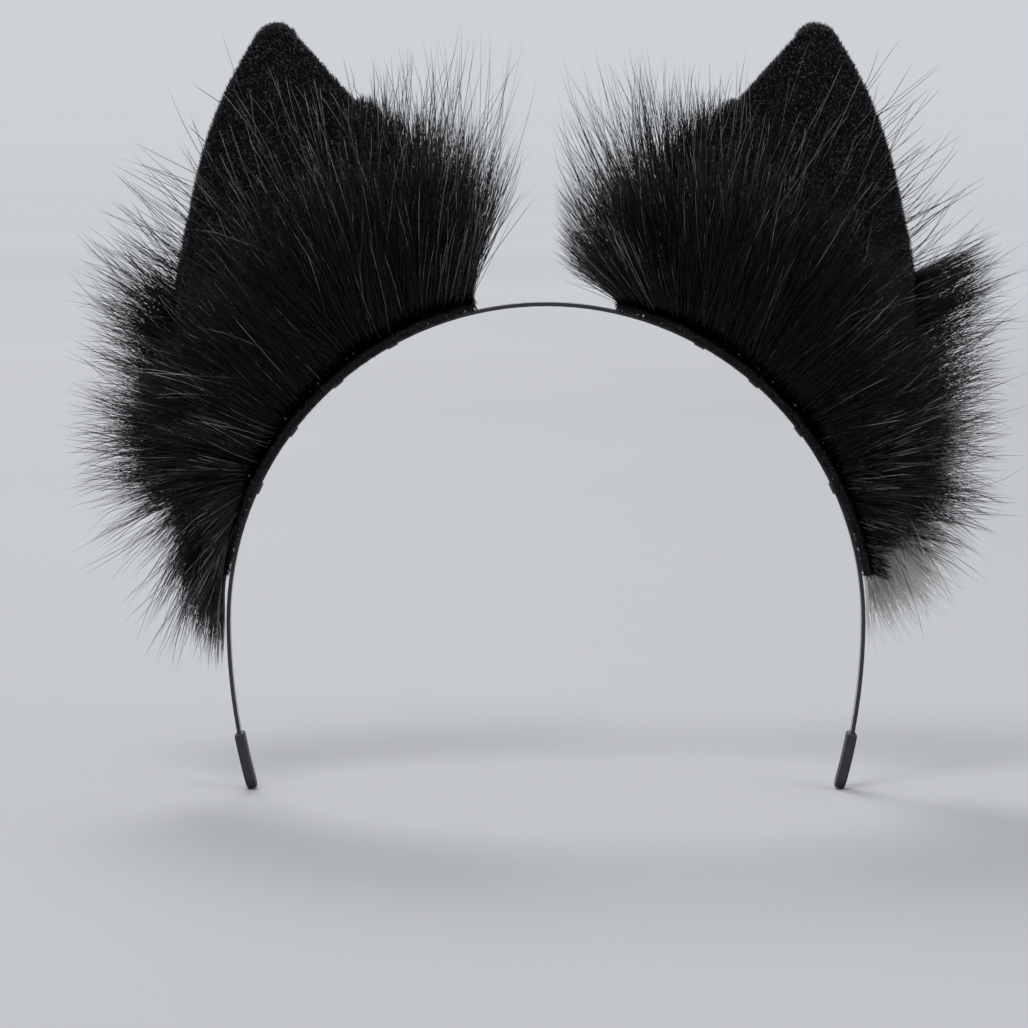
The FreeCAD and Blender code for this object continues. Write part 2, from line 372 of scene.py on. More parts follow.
def hair_piece(name, strands, root_width, glint_share, finish, rng):
    """One mesh of closed, three-sided, tapered hairs. strands is (hairs, points, 3), in millimetres."""
    hairs, count, _ = strands.shape
    rings = count - 1
    ahead = unit(np.gradient(strands, axis=1))
    aside = unit(np.cross(ahead, rng.normal(size=(hairs, 1, 3))))
    above = np.cross(ahead, aside)
    share = np.arange(rings) / rings
    width = 0.5 * root_width[:, None] * (1 - 0.62 * share ** 1.8)
    corners = []
    for turn in (0.0, math.tau / 3, 2 * math.tau / 3):
        step = math.cos(turn) * aside[:, :rings] + math.sin(turn) * above[:, :rings]
        corners.append(strands[:, :rings] + step * width[..., None])
    tube = np.stack(corners, axis=2).reshape(hairs, rings * 3, 3)
    points = np.concatenate([tube, strands[:, -1:]], axis=1)
    size = rings * 3 + 1

    quads = []
    for ring in range(rings - 1):
        for corner in range(3):
            near, far = ring * 3 + corner, ring * 3 + (corner + 1) % 3
            quads.append((near, far, far + 3, near + 3))
    last = (rings - 1) * 3
    tris = [(last + corner, last + (corner + 1) % 3, size - 1) for corner in range(3)] + [(2, 1, 0)]
    first = (np.arange(hairs) * size)[:, None]
    loops = np.concatenate([
        (first + np.array(quads).reshape(1, -1)).reshape(hairs, -1),
        (first + np.array(tris).reshape(1, -1)).reshape(hairs, -1),
    ], axis=1)
    sizes = np.tile([4] * len(quads) + [3] * len(tris), hairs)

    data = bpy.data.meshes.new(name)
    data.vertices.add(hairs * size)
    data.vertices.foreach_set("co", (points * MM).astype(np.float32).ravel())
    data.loops.add(loops.size)
    data.loops.foreach_set("vertex_index", loops.astype(np.int32).ravel())
    data.polygons.add(len(sizes))
    starts = np.concatenate([[0], np.cumsum(sizes)[:-1]])
    data.polygons.foreach_set("loop_start", starts.astype(np.int32))
    data.polygons.foreach_set("use_smooth", np.ones(len(sizes), bool))
    data.update(calc_edges=True)

    place = np.zeros((hairs, size, 2), np.float32)
    # Lighter hairs, painted glints, get u past the limit; their share may change with the angle from the
    # hoop's top.
    turn = np.degrees(np.arctan2(np.abs(strands[:, :1, 0]), strands[:, :1, 2]))
    light = rng.uniform(size=(hairs, 1)) < np.interp(turn, GLINT_TURNS, np.broadcast_to(glint_share, 4))
    pale, plain = rng.uniform(GLINT_FROM + 0.01, 0.97, (hairs, 1)), rng.uniform(0.01, 0.86, (hairs, 1))
    place[:, :, 0] = np.where(light, pale, plain)
    place[:, :rings * 3, 0] += np.tile([0.0, 0.008, 0.016], rings)
    place[:, :rings * 3, 1] = np.repeat(0.01 + 0.98 * share, 3)
    place[:, -1, 0] += 0.008
    place[:, -1, 1] = 0.99
    layer = data.uv_layers.new(name=HAIR_UV)
    layer.data.foreach_set("uv", place.reshape(-1, 2)[loops.ravel()].ravel())
    data.materials.append(finish)
    return placed(name, data)


def laid(flow, normals):
    """Directions turned into the surface that the normals belong to."""
    return unit(flow - normals * (flow * normals).sum(axis=1, keepdims=True))


def grow(roots, normals, flow, lengths, lift_root, lift_tip, bend, droop, rings):
    """Strands that leave their roots at one lift above the flow and end at another."""
    strand = [roots]
    for step in range(rings):
        share = (step + 0.5) / rings
        lift = (lift_root * (1 - share) + lift_tip * share)[:, None]
        ahead = np.cos(lift) * flow + np.sin(lift) * normals + bend * share
        ahead -= UP * (droop * share ** 2)[:, None]
        strand.append(strand[-1] + unit(ahead) * (lengths / rings)[:, None])
    return np.stack(strand, axis=1)


def clump(strands, guides, pull, rng):
    """Draws each strand's tip towards the nearest of some guide strands."""
    chosen = rng.choice(len(strands), guides, replace=False)
    tree = KDTree(guides)
    for index, strand in enumerate(chosen):
        tree.insert(strands[strand, 0], index)
    tree.balance()
    nearest = chosen[[tree.find(root)[1] for root in strands[:, 0]]]
    share = np.linspace(0, 1, strands.shape[1])[None, :, None]
    offset = (strands[:, :1] - strands[nearest, :1]) * (1 - share) ** 1.5
    apart = np.linalg.norm(strands[:, -1] - strands[nearest, -1], axis=1)
    pull = pull * rng.uniform(0.5, 1.0, len(strands)) * np.minimum(1.0, 7.0 / np.maximum(apart, 1.0))
    weight = pull[:, None, None] * share ** 1.3
    return strands + (strands[nearest] + offset - strands) * weight


def clear_of_hoop(strands):
    """Keeps strands outside the hoop: the head is there when it is worn."""
    limit = HOOP_RADIUS + HOOP_GAP
    x, z = strands[..., 0], strands[..., 2]
    radius = np.hypot(x, np.maximum(z, 0.0))
    push = np.where(radius < limit, limit / np.maximum(radius, 1.0), 1.0)
    strands[..., 0] *= push
    strands[..., 2] = np.where(z > 0, z * push, z)
    return strands


def shortened(strands, rng):
    """Pulls in strands that reach past the ear's box, towards their roots and each by a little more."""
    root = strands[:, :1]
    reach = strands - root
    room = np.where(reach > 0, FUR_HIGH - root, FUR_LOW - root)
    share = np.where(np.abs(reach) > 1e-6, room / np.where(reach == 0, 1.0, reach), np.inf).min(axis=(1, 2))
    share = np.where(share < 1, share * rng.uniform(0.7, 1.0, len(share)), 1.0)
    return root + reach * np.clip(share, 0.2, 1.0)[:, None, None]


def compass(angles):
    """Directions in the XZ plane, at angles from straight up towards the wearer's left."""
    turn = np.radians(angles)
    return np.stack([np.sin(turn), np.zeros_like(turn), np.cos(turn)], axis=1)


# How the long black fur lies: x and z of a place, then the hairs' angle and length there.
FUR_LIES = {
    "left": [
        (20, 85, -3, 37), (24, 98, -5, 31), (33, 92, 0, 35), (30, 108, -3, 24), (38, 119, 1, 15),
        (44, 128, 6, 8), (50, 135, 12, 2), (46, 114, 8, 14), (94, 84, 44, 9), (45, 82, 14, 38),
        (55, 100, 20, 27), (60, 80, 27, 34), (64, 62, 46, 32), (70, 115, 26, 20), (80, 95, 38, 18),
        (78, 52, 61, 29), (88, 75, 46, 10), (92, 60, 55, 14), (94, 45, 76, 20), (93, 34, 90, 20),
        (91, 28, 166, 16), (88, 20, 172, 22), (85, 16, 178, 26),
    ],
    "right": [
        (19, 84, -54, 30), (23, 94, -30, 28), (29, 88, -13, 33), (30, 106, -9, 22), (37, 117, 0, 14),
        (43, 127, 4, 6), (50, 135, 12, 2),
        (46, 116, 6, 18), (45, 82, 15, 38), (57, 100, 22, 27), (60, 80, 31, 34), (64, 62, 44, 33),
        (70, 113, 26, 20), (80, 95, 42, 16), (76, 54, 54, 27), (89, 76, 54, 9), (92, 60, 58, 14),
        (94, 45, 70, 17), (92, 31, 86, 19), (88, 22, 98, 16), (84, 16, 110, 5),
    ],
}
LOWEST_FUR = {"left": 17, "right": 22}          # z of the lowest roots
RIM_FUR = {"left": 2150, "right": 1850}         # hairs on the outer edge

# How the pale fluff in the cup lies, given in the same way.
FLUFF_LIES = [
    (22, 86, -8, 22), (34, 100, 8, 24), (45, 85, 12, 28), (60, 85, 26, 30), (62, 64, 40, 28),
    (76, 70, 50, 30), (84, 45, 78, 30), (89, 30, 112, 29), (88, 22, 130, 30), (84, 15, 156, 30),
]

# Where the long fur ends: x of some places and the height of its roots there.
FUR_TOP = ([15, 30, 45, 60, 75, 90, 100], [104, 106, 103, 94, 84, 74, 68])


def lie(table, roots):
    """Angle and length of the hair at some roots, from the nearest places of a table."""
    table = np.array(table, float)
    reach = np.linalg.norm(roots[:, None, ::2] - table[None, :, :2], axis=2)
    weight = 1 / (reach + 2.0) ** 3
    weight /= weight.sum(axis=1, keepdims=True)
    return weight @ table[:, 2], weight @ table[:, 3]


def wander(roots, size, rng):
    """A smooth random number, mostly in -1 to 1, over places about size apart."""
    total = np.zeros(len(roots))
    for _ in range(6):
        wave = rng.normal(size=3) / size
        total += np.sin(roots @ wave * math.tau + rng.uniform(0, math.tau))
    return total / 3


def sown(count, shown, rng, outline=OUTLINE):
    """Places of the leaf, as many as count, kept with the chance that shown gives for each."""
    places = rng.uniform(outline.min(axis=0), outline.max(axis=0), (count * 14, 2))
    places = places[rng.uniform(size=len(places)) < shown(places)]
    return places[inside(places, outline)][:count]


def snapped(points):
    """Points moved to just under the nearest place of the stuffed leaf's surface."""
    found = [SURFACE.find_nearest(Vector(point * MM)) for point in points]
    return np.array([place - normal * 0.0001 for place, normal, _, _ in found]) / MM


def back_roots(places):
    return snapped(on_cup(places, PANEL_BACK)), cup_normal(places)


def rim_roots(chosen, back_turn, front_turn, rng):
    """Roots on the rim at some of the outline's points: 0 degrees faces the back and 180 the front."""
    turn = np.radians(rng.uniform(back_turn, front_turn, len(chosen)))[:, None]
    share, after = rng.uniform(size=(len(chosen), 1)), (chosen + 1) % len(OUTLINE)
    places = OUTLINE[chosen] * (1 - share) + OUTLINE[after] * share
    away = -unit(INWARD[chosen] * (1 - share) + INWARD[after] * share)
    seat = places - away * RIM_RADIUS
    away = np.stack([away[:, 0], np.zeros(len(chosen)), away[:, 1]], axis=1)
    facing = cup_normal(places) * np.cos(turn) + away * np.sin(turn)
    return snapped(on_cup(seat, RIM_CENTRE) + facing * RIM_RADIUS), unit(facing)


def joined(*tracts):
    """The roots and normals of several tracts as one."""
    roots, normals = zip(*tracts)
    return np.concatenate(roots), np.concatenate(normals)


def stretch_of_rim(count, keep, rng):
    """Indices of outline points, as many as count, out of those for which keep(x, z) holds."""
    return rng.choice(np.nonzero(keep(OUTLINE[:, 0], OUTLINE[:, 1]))[0], count)


def broad(low, high, count, rng):
    """Random shares of a hair's length, with fewer long ones than short ones."""
    return low + (high - low) * rng.uniform(size=count) ** 1.35


def strip_roots(count, turns, side_of_strip, inset, rng):
    """Roots by the back or front edge of the felt strip, at angles about the base's centre."""
    angle = np.radians(rng.uniform(*turns, count))
    radius = BASE_RADIUS - rng.uniform(0.0, 1.3, count)
    x = BASE_CENTRE[0] + radius * np.sin(angle)
    z = BASE_CENTRE[1] + radius * np.cos(angle)
    roots = np.stack([x, side_of_strip * (STRIP_HALF_WIDTH - rng.uniform(*inset, count)), z], axis=1)
    return roots, unit(np.stack([np.zeros(count), np.full(count, side_of_strip), np.zeros(count)], axis=1))


def lock(roots, normals, angle, length, lift, spread, bend, droop, rng):
    """Hairs from some roots, at angles that differ by spread. lift, in degrees above the surface, is the
    lowest and highest at the root, then mean and spread at the tip. bend curls hairs, droop lowers tips."""
    count = len(roots)
    angle = angle + rng.normal(0, spread, count)
    lift_root = np.radians(rng.uniform(lift[0], lift[1], count))
    lift_tip = np.radians(rng.normal(lift[2], lift[3], count))
    curl = rng.normal(0, bend, (count, 3))
    flow = compass(angle)
    flow = np.where(np.abs(normals[:, 1:2]) > 0.75, laid(flow, normals), flow)
    return grow(roots, normals, flow, length, lift_root, lift_tip, curl, np.full(count, droop), HAIR_RINGS)


def fringe(count, side_of_strip, rng):
    """Short hairs on the strip's edge that hide the gap between it and the hoop, and pass beside the hoop."""
    roots, normals = strip_roots(count, STRIP_TURNS, side_of_strip, (0.0, 0.25), rng)
    polar = np.degrees(np.arctan2(roots[:, 0], roots[:, 2]))
    length = rng.uniform(2.2, 3.3, count)
    return lock(roots, normals, polar + 180, length, (48, 68, 17, 3), 18, 0.02, 0.0, rng)


def hanging_tuft(rng):
    """The tuft that hangs from the left ear's lower outer corner."""
    count = 1250
    roots, normals = rim_roots(stretch_of_rim(count, lambda x, z: (x > 82) & (z < 33), rng), 0, 150, rng)
    angle, length = rng.uniform(160, 190, count), broad(11, 32, count, rng)
    return lock(roots, normals, angle, length, (0, 30, -2, 6), 5, 0.12, 0.2, rng)


def notch_tuft(rng):
    """The tuft at the right ear's outer notch, and the strands that reach out and down over its fluff."""
    count = 400
    chosen = stretch_of_rim(count, lambda x, z: (x > 88) & (z > 77) & (z < 91), rng)
    roots, normals = rim_roots(chosen, 20, 110, rng)
    angle, length = 63 - 0.25 * (90 - roots[:, 2]), broad(9, 28, count, rng)
    tuft = lock(roots, normals, angle, length, (0, 18, 2, 6), 5, 0.08, 0.0, rng)
    count = 70
    chosen = stretch_of_rim(count, lambda x, z: (x > 84) & (z > 24) & (z < 42), rng)
    roots, normals = rim_roots(chosen, 10, 120, rng)
    angle, length = rng.uniform(102, 126, count), broad(14, 36, count, rng)
    angle[:12], length[:12] = rng.uniform(136, 166, 12), rng.uniform(24, 40, 12)
    return np.concatenate([tuft, lock(roots, normals, angle, length, (0, 25, 2, 6), 5, 0.12, 0.1, rng)])


TUFTS = {"left": hanging_tuft, "right": notch_tuft}


def long_fur(word, rng):
    """The long black fur of one ear: strands and their widths."""
    lowest = LOWEST_FUR[word]
    roots, normals = joined(
        back_roots(sown(12500, lambda p: np.clip((np.interp(p[:, 0], *FUR_TOP) - p[:, 1]) / 18, 0, 1), rng)),
        rim_roots(stretch_of_rim(RIM_FUR[word], lambda x, z: (x > 84.5) & (z < 86) & (z > lowest), rng),
                  10, 160, rng),
        back_roots(sown(500, lambda p: (p[:, 0] > 78) & (p[:, 1] < 36) & (p[:, 1] > lowest), rng)),
        strip_roots(2200, STRIP_TURNS, 1, (0.1, 1.2), rng),
    )
    angle, length = lie(FUR_LIES[word], roots)
    angle = angle + 11 * wander(roots, 22, rng)
    length = (length + 3 * wander(roots, 16, rng)) * broad(0.42, 1.3, len(roots), rng)
    body = lock(roots, normals, angle, length, (22, 60, 4, 11), 7, 0.15, 0.1, rng)

    roots, normals = rim_roots(stretch_of_rim(1750, lambda x, z: (x < 50) & (z < 134), rng), 0, 140, rng)
    angle, length = lie(FUR_LIES[word], roots)
    length = length * broad(0.4, 1.25, len(roots), rng)
    angle = angle + 5 * wander(roots, 20, rng)
    inner = lock(roots, normals, angle, length, (0, 22, 0, 6), 6, 0.12, 0.0, rng)
    strands = np.concatenate([body, inner])
    strands = clump(strands, len(strands) // 14, 0.62, rng)
    strands = clump(strands, len(strands) // 120, 0.3, rng)

    tuft = TUFTS[word](rng)
    tuft = clump(tuft, len(tuft) // 14, 0.75, rng)
    strands = shortened(clear_of_hoop(np.concatenate([strands, tuft])), rng)
    width = np.where(inside(strands[:, -1, ::2], OUTLINE), FUR_WIDTH, FUR_WIDTH_PAST_EDGE)
    return strands, width * rng.uniform(0.65, 1.15, len(strands))


def edging(rng):
    """The fringes on both edges of the strip."""
    strands = np.concatenate([fringe(4200, 1, rng), fringe(2400, -1, rng)])
    return strands, FRINGE_WIDTH * rng.uniform(0.7, 1.1, len(strands))


# Single hairs that stand up along the inner edge, and that reach far out from the outer edge.
TALL_HAIRS = {"left": 140, "right": 480}
FAR_HAIRS = {"left": 120, "right": 60}

# Shares of the lighter hairs, painted glints: one for a whole piece, or one for each of the turns above.
# In the fur most of them are near the hoop's top and on the lower outer side.
GLINTS_IN_FUR = (0.19, 0.04, 0.015, 0.09)
GLINTS_IN_LOOSE = (0.18, 0.06, 0.02, 0.15)
GLINTS_OVER_PLUSH = {"left": 0.75, "right": 0.5}
GLINTS_IN_PILE = (0.17, 0.17, 0.17, 0.4)
GLINTS_IN_PALE = 0.1

# The outer edge's single hairs: heights of their roots, their angles, and how many grow there.
EDGE_HEIGHTS = [72, 84, 100, 116, 140]
EDGE_ANGLES = [60, 54, 48, 44, 38]
EDGE_SHOWN = {"left": [0.9, 0.7, 0.22, 0.02, 0.0], "right": [0.5, 0.22, 0.12, 0.07, 0.03]}


def hairs_over_plush(word, rng):
    """The few long, mostly lighter hairs that lie over the short plush; their lightness is a painted glint.
    """
    count = 190
    places = sown(count, lambda p: (np.abs(p[:, 1] - 105) < 23) * np.clip((98 - p[:, 0]) / 50, 0, 1), rng)
    roots, normals = back_roots(places)
    angle = lie(FUR_LIES[word], roots)[0]
    strands = lock(roots, normals, angle, rng.uniform(12, 30, count), (10, 26, 4, 6), 8, 0.14, 0.0, rng)
    return shortened(strands, rng), OVER_PLUSH_WIDTH * rng.uniform(0.75, 1.15, count)


def loose_hairs(word, rng):
    """Single long hairs: along the outer edge, and crossing the rest of the fur."""
    table, lowest = FUR_LIES[word], LOWEST_FUR[word]
    count = 900
    chosen = stretch_of_rim(count, lambda x, z: (x > 74) & (z > 72) & (z < 140), rng)
    kept = rng.uniform(size=count) < np.interp(OUTLINE[chosen, 1], EDGE_HEIGHTS, EDGE_SHOWN[word])
    edge = rim_roots(chosen[kept], 0, 120, rng)
    heights = edge[0][:, 2]
    length = broad(8, 28, len(heights), rng) * np.interp(heights, [72, 140], [1.1, 0.75])
    angle = np.interp(heights, EDGE_HEIGHTS, EDGE_ANGLES)
    edge = lock(*edge, angle, length, (0, 30, 4, 9), 11, 0.12, 0.0, rng)

    roots, normals = joined(
        back_roots(sown(480, lambda p: (p[:, 1] < np.interp(p[:, 0], *FUR_TOP)).astype(float), rng)),
        rim_roots(stretch_of_rim(760, lambda x, z: (x > 84) & (z < 80) & (z > lowest), rng), 10, 140, rng),
    )
    angle, length = lie(table, roots)
    length = np.maximum(length, 16) * rng.uniform(1.0, 1.75, len(roots))
    cross = lock(roots, normals, angle, length, (8, 50, 6, 12), 15, 0.22, 0.2, rng)
    tall, far = TALL_HAIRS[word], FAR_HAIRS[word]
    roots, normals = rim_roots(stretch_of_rim(tall, lambda x, z: (x < 48) & (z < 130), rng), 10, 110, rng)
    angle, length = lie(table, roots)
    length = length * rng.uniform(1.1, 2.0, tall)
    tall = lock(roots, normals, angle, length, (0, 22, 4, 10), 9, 0.13, 0.0, rng)
    chosen = stretch_of_rim(far, lambda x, z: (x > 84) & (z < 82) & (z > 28), rng)
    roots, normals = rim_roots(chosen, 10, 120, rng)
    angle, length = lie(table, roots)[0], rng.uniform(22, 42, far)
    far = lock(roots, normals, angle, length, (0, 30, 3, 9), 12, 0.18, 0.15, rng)
    strands = np.concatenate([edge, *(clear_of_hoop(some) for some in (cross, tall, far))])
    return shortened(strands, rng), LOOSE_WIDTH * rng.uniform(0.75, 1.15, len(strands))


def pile(roots, normals, lengths, rng):
    """Short plush pile that leans one way here and another there."""
    count = len(roots)
    angle = 10 + 40 * wander(roots, 9, rng) + rng.normal(0, 30, count)
    lift = np.radians(rng.uniform(30, 80, count))
    bend = rng.normal(0, 0.2, (count, 3))
    flow = laid(compass(angle), normals)
    return grow(roots, normals, flow, lengths, lift, lift - 0.5, bend, np.zeros(count), 2)


def back_pile(rng):
    places = sown(29000, lambda p: np.clip((p[:, 1] - 82) / 14, 0.08, 1), rng)
    back = back_roots(places)
    high = stretch_of_rim(10500, lambda x, z: (z > 72) & (x > 22), rng)
    low = stretch_of_rim(3000, lambda x, z: z <= 72, rng)
    rim = rim_roots(np.concatenate([high, low]), -10, 178, rng)
    roots, normals = joined(back, rim)
    lengths = np.concatenate([rng.uniform(0.9, 1.9, len(back[0])), rng.uniform(0.6, 1.4, len(rim[0]))])
    return pile(roots, normals, lengths, rng), PILE_WIDTH * rng.uniform(0.7, 1.2, len(roots))


def lining_pile(rng):
    places = sown(9000, lambda p: np.ones(len(p)), rng, offset_ring(RIM_RADIUS + 0.6))
    roots, normals = on_cup(places, LINING_FRONT + 0.1), -cup_normal(places)
    strands = pile(roots, normals, rng.uniform(1.2, 2.4, len(places)), rng)
    return strands, LINING_PILE_WIDTH * rng.uniform(0.7, 1.2, len(places))


def kept_in_leaf(strands, margin):
    """Shortens strands until their tips are over the leaf, inside its rim."""
    edge = offset_ring(margin)
    root = strands[:, :1]
    for _ in range(8):
        out = ~inside(strands[:, -1, ::2], edge)
        strands = np.where(out[:, None, None], root + (strands - root) * 0.84, strands)
    return strands


CORNER_FLUFF = {"left": (1100, 150, 19), "right": (2900, 108, 32)}   # hairs, flattest angle, greatest length


def fluff(word, rng):
    """Pale fluff that fills the cup from its base, and shows past the ear's lower outer corner."""
    places = sown(4600, lambda p: np.clip((116 - p[:, 1]) / 40, 0, 1), rng, offset_ring(RIM_RADIUS + 0.5))
    roots, normals = joined((on_cup(places, LINING_FRONT), -cup_normal(places)),
                            strip_roots(1100, (15, 76), -1, (0.1, 1.2), rng))
    angle, length = lie(FLUFF_LIES, roots)
    length = length * rng.uniform(0.55, 1.1, len(roots))
    angle = angle + 10 * wander(roots, 20, rng)
    filling = lock(roots, normals, angle, length, (18, 55, -2, 9), 7, 0.15, 0.2, rng)
    filling = clump(filling, len(filling) // 13, 0.66, rng)

    count, flattest, longest = CORNER_FLUFF[word]
    roots, normals = rim_roots(stretch_of_rim(count, lambda x, z: (x > 80) & (z < 36), rng), 95, 178, rng)
    corner = lock(roots, normals, rng.uniform(flattest, 176, count), broad(9, longest, count, rng),
                  (0, 40, -2, 9), 8, 0.14, 0.25, rng)
    corner = clump(corner, count // 16, 0.7, rng)
    strands = [kept_in_leaf(clear_of_hoop(filling), 1.0), clear_of_hoop(corner)]
    if word == "right":
        count = 800
        chosen = stretch_of_rim(count, lambda x, z: (x > 88) & (z > 38) & (z < 62), rng)
        roots, normals = rim_roots(chosen, 60, 150, rng)
        beside = lock(roots, normals, rng.uniform(102, 148, count), broad(9, 23, count, rng),
                      (0, 30, 0, 8), 8, 0.14, 0.1, rng)
        strands.append(clump(beside, 50, 0.7, rng))
    strands = np.concatenate(strands)
    return shortened(strands, rng), FLUFF_WIDTH * rng.uniform(0.7, 1.15, len(strands))


# ---- the leaf, the strip and the thread ----

def leaf_sheet(first, spacing):
    """Triangles that fill the leaf from a depth inwards: places, their depths and the triangles."""
    edge = OUTLINE if first == 0 else offset_ring(first)
    steps = (0.2, 0.55, 1.1, 1.8, 2.5, RIM_RADIUS, 3.2, 3.6) if first == 0 else ()
    rings = [offset_ring(step) for step in steps]
    low, high = edge.min(axis=0), edge.max(axis=0)
    columns, rows = np.meshgrid(np.arange(low[0], high[0], spacing),
                                np.arange(low[1], high[1], spacing * 0.87))
    columns = columns + (np.arange(len(columns)) % 2)[:, None] * spacing / 2
    grid = np.stack([columns.ravel(), rows.ravel()], axis=1)
    grid = grid[inside(grid, edge)]
    grid = grid[edge_depth(grid, edge) > (4.6 if first == 0 else 1.2)]
    places = np.concatenate([edge, *rings, grid])
    count = len(edge)
    loop = [(index, (index + 1) % count) for index in range(count)]
    found = delaunay_2d_cdt([Vector(p) for p in places], loop, [], 1, 1e-4)
    places = np.array([(p.x, p.y) for p in found[0]])
    return places, edge_depth(places, edge), found[2]


def leaf_body(places, depths, triangles, front, back):
    """Points and faces of a closed body over a leaf sheet. front and back give the radius at each depth."""
    count = len(places)
    points = np.concatenate([on_cup(places, back(depths)), on_cup(places, front(depths))])
    faces = [tuple(t) for t in triangles] + [tuple(count + i for i in reversed(t)) for t in triangles]
    return points, faces


def rim_height(depths, radius):
    inset = np.clip(radius - depths, 0, radius)
    return np.sqrt(radius ** 2 - inset ** 2)


def cushion():
    """The stuffed leaf: plush cloth round the foam core, its rim turned forwards round the lining."""
    places, depths, triangles = leaf_sheet(0, 2.4)
    recess = np.clip((depths - RIM_RADIUS) / 0.5, 0, 1) * (RIM_RADIUS - (RIM_CENTRE - LINING_BACK))
    height = rim_height(depths, RIM_RADIUS)
    return leaf_body(places, depths, triangles,
                     lambda d: RIM_CENTRE - height + recess, lambda d: RIM_CENTRE + height)


def lining():
    """The pale lining, a little puffed, that sits inside the rim."""
    places, depths, triangles = leaf_sheet(RIM_RADIUS + 0.3, 3.0)
    edge = rim_height(depths, 0.45)
    puff = 0.25 * np.clip(depths / 12, 0, 1)
    middle = (LINING_FRONT + LINING_BACK) / 2
    return leaf_body(places, depths, triangles, lambda d: middle - edge - puff, lambda d: middle + edge)


def puffed(piece, most):
    """Swells a closed cushion by a short cloth simulation. No point moves further than most, in metres."""
    rest = np.array([vertex.co[:] for vertex in piece.data.vertices])
    cloth = piece.modifiers.new("cloth", "CLOTH")
    settings = cloth.settings
    settings.quality = 6
    settings.mass = 0.02
    settings.tension_stiffness = settings.compression_stiffness = 12.0
    settings.bending_stiffness = 0.3
    settings.use_pressure = True
    settings.uniform_pressure_force = 4.0
    settings.effector_weights.gravity = 0.0
    cloth.collision_settings.use_collision = False
    cloth.point_cache.frame_start, cloth.point_cache.frame_end = 1, 20
    for frame_number in range(1, 21):
        bpy.context.scene.frame_set(frame_number)
    shaped = piece.evaluated_get(bpy.context.evaluated_depsgraph_get())
    move = np.array([vertex.co[:] for vertex in shaped.data.vertices]) - rest
    piece.modifiers.clear()
    bpy.context.scene.frame_set(1)
    length = np.linalg.norm(move, axis=1, keepdims=True)
    rest += move * np.minimum(1.0, most / np.maximum(length, 1e-9))
    piece.data.vertices.foreach_set("co", rest.astype(np.float32).ravel())
    piece.data.update()
    return piece


def rounded_section(half_width, half_height, corner):
    """A closed rounded rectangle, as (y, height) pairs."""
    section = []
    for index, (sy, sz) in enumerate(((1, 1), (-1, 1), (-1, -1), (1, -1))):
        for turn in np.radians(index * 90 + np.linspace(0, 90, 4)):
            section.append((sy * (half_width - corner) + corner * math.cos(turn),
                            sz * (half_height - corner) + corner * math.sin(turn)))
    return np.array(section)


def base_strip(name, finish, side):
    """The felt strip under the ear: a rounded section swept along the base curve."""
    section = rounded_section(STRIP_HALF_WIDTH, STRIP_HALF_THICKNESS, 0.5)
    rings = []
    for angle in np.radians(np.linspace(*STRIP_TURNS, 60)):
        radius = BASE_RADIUS - STRIP_HALF_THICKNESS + section[:, 1]
        x = BASE_CENTRE[0] + radius * math.sin(angle)
        z = BASE_CENTRE[1] + radius * math.cos(angle)
        rings.append(np.stack([x, section[:, 0], z], axis=1))
    points = mirrored(np.concatenate(rings), side)
    count = len(section)
    last = (len(rings) - 1) * count
    faces = ring_faces(len(rings), count) + [list(range(count)), list(range(last, last + count))]
    return outward(mesh_piece(name, points, faces, finish))


STITCH_ANGLES = (29.0, 41.0, 53.0, 65.0)
STITCH_TURNS = (-1.2, -0.6, 0.0, 0.6, 1.2)      # along the hoop, in millimetres
THREAD_RADIUS = 0.2
THREAD_SIDE_GAP = 0.12
THREAD_UNDER_GAP = 0.06
THREAD_CORNER = 0.7


def thread_path(angle, offset):
    """One turn of thread: down from the strip, under the hoop and up again."""
    half = HOOP_HALF_WIDTH + THREAD_SIDE_GAP + THREAD_RADIUS
    under = HOOP_RADIUS - HOOP_THICKNESS - THREAD_UNDER_GAP - THREAD_RADIUS
    corner = THREAD_CORNER
    line = [(half, HOOP_RADIUS + 1.6 - 0.4 * k) for k in range(4)]
    line += [(half, under + corner)]
    line += [(half - corner * (1 - math.cos(t)), under + corner * (1 - math.sin(t)))
             for t in np.radians([30, 60, 90])]
    line += [(y, under) for y in (0.9, 0.0)]
    line += [(-y, height) for y, height in reversed(line[:-1])]
    turn = math.radians(angle)
    along = np.array([math.cos(turn), 0, -math.sin(turn)])
    away = np.array([math.sin(turn), 0, math.cos(turn)])
    return np.array([along * offset + away * height + BACK * y for y, height in line])


def tube(path, radius):
    """Points of an eight-sided tube along a path, and its faces."""
    sides = 8
    ahead = unit(np.gradient(path, axis=0))
    reference = np.cross(path[0] - path[-1], path[len(path) // 2] - path[0])
    aside = unit(np.broadcast_to(reference, path.shape))
    above = np.cross(ahead, aside)
    turns = np.arange(sides) * math.tau / sides
    rings = path[:, None] + radius * (np.cos(turns)[None, :, None] * aside[:, None]
                                      + np.sin(turns)[None, :, None] * above[:, None])
    faces = ring_faces(len(path), sides)
    last = (len(path) - 1) * sides
    return rings.reshape(-1, 3), faces + [list(range(sides)), list(range(last, last + sides))]


def stitches(name, finish, side):
    points, faces, used = [], [], 0
    for angle in STITCH_ANGLES:
        for offset in STITCH_TURNS:
            ring_points, ring = tube(thread_path(angle, offset), THREAD_RADIUS)
            points.append(ring_points)
            faces += [[index + used for index in face] for face in ring]
            used += len(ring_points)
    return outward(mesh_piece(name, mirrored(np.concatenate(points), side), faces, finish))
